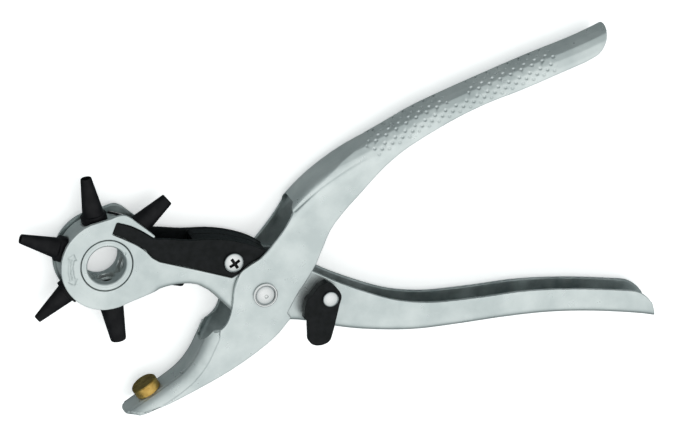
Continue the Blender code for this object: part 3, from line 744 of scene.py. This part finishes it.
def make_pivot_rivet():
    front = ANVIL_HALF + GAP
    crown = [(3.5 * math.sin(math.radians(a)), front + 0.25 + 1.43 * math.cos(math.radians(a)))
             for a in range(15, 82, 6)]
    profile = [(0, front + 1.25), (0.4, front + 1.3), (0.7, front + 1.62), *crown,
               (3.5, front + 0.3), (3.65, front + 0.6), (3.95, front + 0.6),
               (RIVET_HEAD_R, front + 0.45), (RIVET_HEAD_R, front + 0.15),
               (RIVET_HEAD_R - 0.15, front), (RIVET_R, front), (RIVET_R, -front),
               (RIVET_HEAD_R, -front), (RIVET_HEAD_R, -MID_Z + 0.35),
               (RIVET_HEAD_R - 0.35, -MID_Z), (0, -MID_Z)]
    return turned("rivet", profile)


def make_sleeve():
    half = HEAD_HALF - HEAD_SHEET - GAP
    profile = [(RIVET_R + GAP, half), (SLEEVE_R, half), (SLEEVE_R, -half), (RIVET_R + GAP, -half)]
    return turned("sleeve", filleted(profile, 0.2, closed=True), closed=True)


def make_spring():
    pitch = 2 * WIRE_R + 0.35
    sweep = -(COIL_TURNS * 360 + (COIL_START - LEG_ANGLE) % 360)
    steps = round(-sweep / 360 * 40)
    rise = -sweep / 360 * pitch
    top = rise / 2
    path = [Vector((*LEG_END, top))]
    for i in range(steps + 1):
        spot = polar((0, 0), COIL_R, COIL_START + sweep * i / steps)
        path.append(Vector((spot.x, spot.y, top - rise * i / steps)))
    hook = Vector((*LEG_HOOK, 0))
    low = top - rise
    path += [Vector((hook.x - 0.5, hook.y - 0.9, low)),
             Vector((hook.x - 0.1, hook.y - 0.2, low - 0.4)),
             Vector((hook.x, hook.y, low - 1.2)), Vector((hook.x, hook.y, -ANVIL_HALF + 0.1))]
    wire = bpy.data.curves.new("spring", "CURVE")
    wire.dimensions = "3D"
    wire.bevel_depth = WIRE_R * MM
    wire.bevel_resolution = 5
    wire.use_fill_caps = True
    spline = wire.splines.new("POLY")
    spline.points.add(len(path) - 1)
    for point, spot in zip(spline.points, path):
        point.co = (spot.x * MM, spot.y * MM, spot.z * MM, 1.0)
    guide = place(wire, "spring_line")
    guide.location.z = MID_Z * MM
    return place(taken_from(guide), "spring")


# ---------------------------------------------------------------- anvil

def make_anvil():
    under = -ANVIL_SHEET - GAP
    profile = [(0, ANVIL_HEIGHT), (ANVIL_R - 0.5, ANVIL_HEIGHT), (ANVIL_R, ANVIL_HEIGHT - 0.5),
               (ANVIL_R, GAP + 0.1), (ANVIL_R - 0.1, GAP), (STEM_R, GAP), (STEM_R, under),
               (2.9, under), (2.6, under - 0.9), (0, under - 0.9)]
    anvil = turned("anvil", filleted(profile, 0.3), ANVIL_FOOT)
    return tipped(anvil, ANVIL_FOOT, WEB_ANGLE - 90)


# ---------------------------------------------------------------- arm cover

COVER_RIDGE = [(1.6, 13.6), (-0.6, 15.1), (-4.0, 16.8), (-10.5, 18.8), (-17.1, 19.8), (-27.0, 20.0),
               (-33.6, 20.7), (-38.0, 21.0)]
COVER_END = [(-4.9, 11.1), (-1.5, 12.6)]
LIP = 1.6


def make_cover_half(side):
    inside = HEAD_HALF - HEAD_SHEET
    plate_edge = curve(SLOT_FLOOR) + [Vector(p) for p in COVER_FLOOR] + [Vector((-8.8, 7.2))]
    ridge = curve(COVER_RIDGE)
    end = [Vector(p) for p in COVER_END]
    wall = offset(plate_edge, GAP) + end + ridge + offset(curve(SLOT_ROOF), GAP)
    shell = prism("cover", wall, *sorted((side * inside, side * HEAD_HALF)))
    clear = arc(TURRET, SWEEP_CLEAR, 12.5, -2.0, 16)
    floor = [p for p in offset(plate_edge, GAP + 0.15) if p.x > clear[-1].x + 0.3]
    roof = [p for p in offset(ridge, 0.15) if p.x > clear[0].x + 0.3]
    block = floor + offset(end, 0.15) + roof + clear
    levels = sorted((side * 0.15, side * (inside + 0.6)))
    cut(shell, prism("block", block, *levels), "UNION")
    edge = [p for p in plate_edge if p.x > clear[-1].x + 0.6]
    lip = offset(edge, -LIP) + offset(edge, 1.0)[::-1]
    cut(shell, prism("lip", lip, *sorted((side * 0.3, side * (inside - GAP)))), "UNION")
    cut(shell, peg("screw_hole", SCREW, SCREW_R + GAP, -THROUGH, THROUGH))
    if side > 0:
        spot = polar(TURRET, DETENT_R, DETENT_ANGLE)
        cut(shell, peg("ball_pocket", spot, BALL_R + 0.2, inside - 1, inside + 0.95, 32))
    return remeshed(shell, 0.2, smooth=3)


def make_ball():
    ball = polar(TURRET, DETENT_R, DETENT_ANGLE)
    level = HEAD_HALF - HEAD_SHEET - 0.15
    turn = [math.radians(90 - 180 * i / 24) for i in range(25)]
    profile = [(max(BALL_R * math.cos(a), 0.0), BALL_R * math.sin(a)) for a in turn]
    profile[0] = (0, BALL_R)
    profile[-1] = (0, -BALL_R)
    return turned("ball", profile, ball, level, steps=48)


def make_cover_screw():
    head = HEAD_HALF + GAP
    dome = [(SCREW_HEAD_R * math.sin(math.radians(a)),
             head + 0.35 + 1.35 * math.cos(math.radians(a))) for a in range(10, 91, 8)]
    screw = turned("screw", [(0, head + 1.7), *dome, (SCREW_HEAD_R, head + 0.15),
                             (SCREW_HEAD_R - 0.15, head), (SCREW_R, head), (SCREW_R, -9.2),
                             (SCREW_R - 0.2, -9.4), (0, -9.4)], SCREW)
    for turn_by in (35, 125):
        bar = [Vector(p) for p in ((-2.0, -0.5), (2.0, -0.5), (2.0, 0.5), (-2.0, 0.5))]
        slot = prism("cross", bar, head + 0.3, head + 3)
        swing = Matrix.Rotation(math.radians(turn_by), 4, "Z")
        slot.data.transform(Matrix.Translation((SCREW[0] * MM, SCREW[1] * MM, 0)) @ swing)
        cut(screw, slot)
    return remeshed(screw, 0.09, smooth=2)


def make_nut():
    nut = prism("nut", arc(SCREW, 4.04, 0, 300, 5), -MID_Z, -HEAD_HALF - GAP)
    cut(nut, peg("nut_bore", SCREW, SCREW_R + GAP, -11, -6))
    return remeshed(nut, 0.12)


# ---------------------------------------------------------------- latch

LATCH_OUTLINE = [(20.2, 4.8), (23.2, 2.9), (25.5, -0.2), (24.9, -4.0), (24.1, -8.4), (23.2, -13.0),
                 (22.2, -16.2), (20.4, -17.4), (17.6, -17.7), (15.4, -16.6), (14.9, -13.6),
                 (14.5, -8.6)]
LATCH_HEEL = [(13.0, -8.1), (13.0, -4.4), (13.6, -1.6), (15.6, 0.8), (17.3, 3.3)]
LATCH_HOLE = (19.3, -13.2)
EYE_BALL = 3.4                             # radius of the ball that the shallow dish fits
EYE_DEPTH = 0.4


def make_latch():
    latch = prism("latch", curve(LATCH_OUTLINE, 6) + curve(LATCH_HEEL, 6), LATCH_LOW, LATCH_HIGH)
    cut(latch, peg("latch_bore", LATCH, LATCH_RIVET_R + GAP, LATCH_LOW - 1, LATCH_HIGH + 1))
    rise = LATCH_HIGH + EYE_BALL - EYE_DEPTH
    dish = [(EYE_BALL * math.sin(math.radians(a)), rise - EYE_BALL * math.cos(math.radians(a)))
            for a in range(0, 181, 6)]
    dish[0] = (0, rise - EYE_BALL)
    dish[-1] = (0, rise + EYE_BALL)
    cut(latch, turned("latch_eye", dish, LATCH_HOLE, steps=64))
    return remeshed(latch, 0.16, smooth=6)


def make_washer():
    under = HEAD_HALF + GAP
    top = LATCH_LOW - GAP
    profile = [(LATCH_RIVET_R + GAP, top), (3.3, top), (3.3, under), (LATCH_RIVET_R + GAP, under)]
    return turned("washer", filleted(profile, 0.2, closed=True), LATCH, closed=True)


def make_latch_rivet():
    top = LATCH_HIGH + GAP
    under = HEAD_HALF + GAP
    dome = [(2.75 * math.sin(math.radians(a)), top + 0.2 + 1.1 * math.cos(math.radians(a)))
            for a in range(0, 91, 6)]
    dome[0] = (0, dome[0][1])
    profile = [*dome, (2.75, top + 0.1), (2.65, top), (LATCH_RIVET_R, top), (LATCH_RIVET_R, -under),
               (2.5, -under), (2.5, -under - 0.8), (2.3, -under - 1.0), (0, -under - 1.0)]
    return turned("rivet", profile, LATCH)


# ---------------------------------------------------------------- pieces

def painted_shade_faces(centres, normals):
    """The plates' inner faces, which look back at the middle plane; their darker colour is painted
    shade.
    """
    return normals[:, 2] * np.sign(centres[:, 2]) < -0.4


def painted_shade_cross(centres, normals):
    """The sunk cross of the screw's head, coloured black as painted shade in its recess."""
    away = np.hypot(centres[:, 0] - SCREW[0], centres[:, 1] - SCREW[1])
    floor = (centres[:, 2] < HEAD_HALF + GAP + 0.9) & (normals[:, 2] > 0.3)
    wall = np.abs(normals[:, 2]) < 0.3
    return (away < 2.3) & (centres[:, 2] > HEAD_HALF + GAP) & (floor | wall)


# The plates' inner faces get the darker lining, which is painted shade inside the channels
finished(make_head_lever(), "head_lever", "head_lever", PLATED,
         crease=180.0, lining=INSIDE_SHADE, lined=painted_shade_faces)
finished(make_anvil_lever(), "anvil_lever", "anvil_lever", PLATED,
         crease=180.0, lining=INSIDE_SHADE, lined=painted_shade_faces)
finished(make_turret(), "turret", "turret_drum", PLATED)
for index, hole in enumerate(PUNCH_HOLES):
    finished(make_punch(hole, PUNCH_FIRST_ANGLE + 60 * index), "turret",
             "punch_" + str(hole).replace(".", "_"), OXIDE_AND_SHADE)
finished(make_pivot_rivet(), "head_lever", "pivot_rivet", BRIGHT)
finished(make_sleeve(), "head_lever", "pivot_sleeve", BRIGHT)
finished(make_spring(), "head_lever", "opening_spring", WIRE)
finished(make_anvil(), "anvil_lever", "anvil", BRASS)
finished(make_cover_half(1), "head_lever", "cover_front", PLASTIC)
finished(make_cover_half(-1), "head_lever", "cover_rear", PLASTIC)
finished(make_ball(), "head_lever", "detent_ball", BRIGHT)
# The screw's sunk cross is coloured black: painted shade in the recess
finished(make_cover_screw(), "head_lever", "cover_screw", BRIGHT,
         lining=OXIDE_AND_SHADE, lined=painted_shade_cross)
finished(make_nut(), "head_lever", "cover_nut", BRIGHT)
finished(make_latch(), "latch", "latch_lever", PLASTIC)
finished(make_washer(), "head_lever", "latch_washer", BRIGHT)
finished(make_latch_rivet(), "head_lever", "latch_rivet", BRIGHT)


# ---------------------------------------------------------------- stage, light, camera

CAMERA_SPOT = (-0.569487, 0.743352, 1.998720)
CAMERA_RIGHT = (0.96133, 0.04674, 0.27140)
CAMERA_BACK = (-0.27140, 0.32807, 0.90483)    # from the tool towards the camera
LENS = 348.185
SENSOR = 36.0


def make_stage():
    mesh = bpy.data.meshes.new("floor")
    reach = 6.0
    corners = [(-reach, -reach, 0), (reach, -reach, 0), (reach, reach, 0), (-reach, reach, 0)]
    mesh.from_pydata(corners, [], [(0, 1, 2, 3)])
    floor = place(mesh, "floor")
    made, _, shader = nodes_of("floor_pale")
    shader.inputs["Base Color"].default_value = (0.93, 0.94, 0.94, 1.0)
    shader.inputs["Roughness"].default_value = 0.9
    shader.inputs["Specular IOR Level"].default_value = 0.1
    shader.inputs["Emission Color"].default_value = (1.0, 1.0, 1.0, 1.0)
    shader.inputs["Emission Strength"].default_value = 0.34
    mesh.materials.append(made)
    floor.visible_glossy = False
    floor.location.z = -0.0002


def make_world():
    world = bpy.data.worlds.new("studio")
    world.use_nodes = True
    bpy.context.scene.world = world
    tree = world.node_tree
    coordinates = tree.nodes.new("ShaderNodeTexCoord")
    split = tree.nodes.new("ShaderNodeSeparateXYZ")
    tree.links.new(coordinates.outputs["Generated"], split.inputs["Vector"])
    height = spread(tree, split.outputs["Z"], 0.0, 1.0, -1.0, 1.0)
    sky = ramp(tree, height, (0.0, (0.10, 0.125, 0.13)), (0.42, (0.06, 0.08, 0.085)),
               (0.58, (0.22, 0.26, 0.27)), (0.74, (0.72, 0.76, 0.76)), (0.90, (0.90, 0.93, 0.93)),
               (1.0, (1.08, 1.1, 1.1)))
    rays = tree.nodes.new("ShaderNodeLightPath")
    seen = tree.nodes.new("ShaderNodeMix")
    seen.data_type = "RGBA"
    colours = [socket for socket in seen.inputs if socket.type == "RGBA"]
    tree.links.new(rays.outputs["Is Camera Ray"], seen.inputs[0])
    tree.links.new(sky, colours[0])
    colours[1].default_value = (0.95, 0.96, 0.96, 1.0)
    result = [socket for socket in seen.outputs if socket.type == "RGBA"][0]
    tree.links.new(result, tree.nodes["Background"].inputs["Color"])
    tree.nodes["Background"].inputs["Strength"].default_value = 1.0


def soft_light(name, spot, aim, size, power, colour=(1, 1, 1)):
    light = bpy.data.lights.new(name, "AREA")
    light.shape = "DISK"
    light.size = size
    light.energy = power
    light.color = colour
    lamp = bpy.data.objects.new(name, light)
    bpy.context.scene.collection.objects.link(lamp)
    lamp.location = spot
    lamp.rotation_euler = (Vector(spot) - Vector(aim)).to_track_quat("Z", "Y").to_euler()
    return lamp


def make_camera():
    back = Vector(CAMERA_BACK).normalized()
    up = back.cross(Vector(CAMERA_RIGHT)).normalized()
    lens = bpy.data.cameras.new("camera")
    lens.sensor_width = SENSOR
    lens.lens = LENS
    lens.clip_start = 0.1
    lens.clip_end = 20.0
    camera = bpy.data.objects.new("camera", lens)
    bpy.context.scene.collection.objects.link(camera)
    turn = Matrix((up.cross(back), up, back)).transposed().to_4x4()
    camera.matrix_world = Matrix.Translation(CAMERA_SPOT) @ turn
    bpy.context.scene.camera = camera


make_stage()
make_world()
soft_light("overhead", (0.0, 0.0, 1.6), (0.02, 0.01, 0), 1.6, 9.0).visible_glossy = False
make_camera()
bpy.context.scene.view_settings.view_transform = "Standard"
